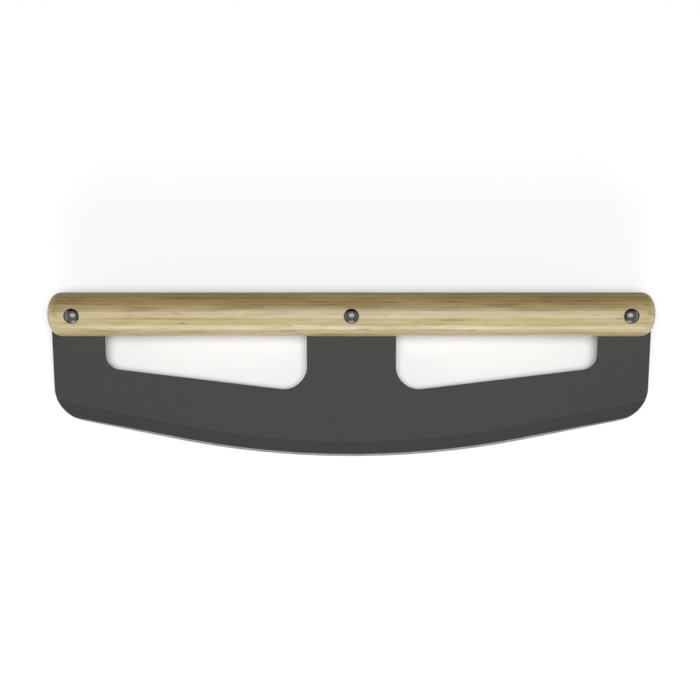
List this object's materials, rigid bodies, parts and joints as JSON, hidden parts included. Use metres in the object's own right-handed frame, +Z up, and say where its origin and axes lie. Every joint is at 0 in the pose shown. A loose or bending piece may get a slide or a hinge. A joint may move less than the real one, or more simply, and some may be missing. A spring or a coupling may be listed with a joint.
{
  "type": "rocker pizza cutter",
  "caption": "Rocker pizza cutter: a dark coated steel blade with a curved ground edge and hand windows, riveted into the slot of a round wooden handle.",
  "frame": {"origin": "on the table, under the middle of the box around the cutter as it lies on its back face", "axes": "+X along the handle, +Y from the cutting edge towards the handle, +Z up from the table"},
  "size_m": [0.3586, 0.0984, 0.0273],
  "materials": {
    "coated_steel": "satin",
    "lacquered_wood": "satin",
    "dark_rivet_steel": "polished"
  },
  "bodies": {
    "root": {"blade": "coated_steel", "handle": "lacquered_wood", "rivet_sleeve_left": "dark_rivet_steel", "rivet_sleeve_middle": "dark_rivet_steel", "rivet_sleeve_right": "dark_rivet_steel", "rivet_pin_left": "dark_rivet_steel", "rivet_pin_middle": "dark_rivet_steel", "rivet_pin_right": "dark_rivet_steel"}
  },
  "joints": []
}
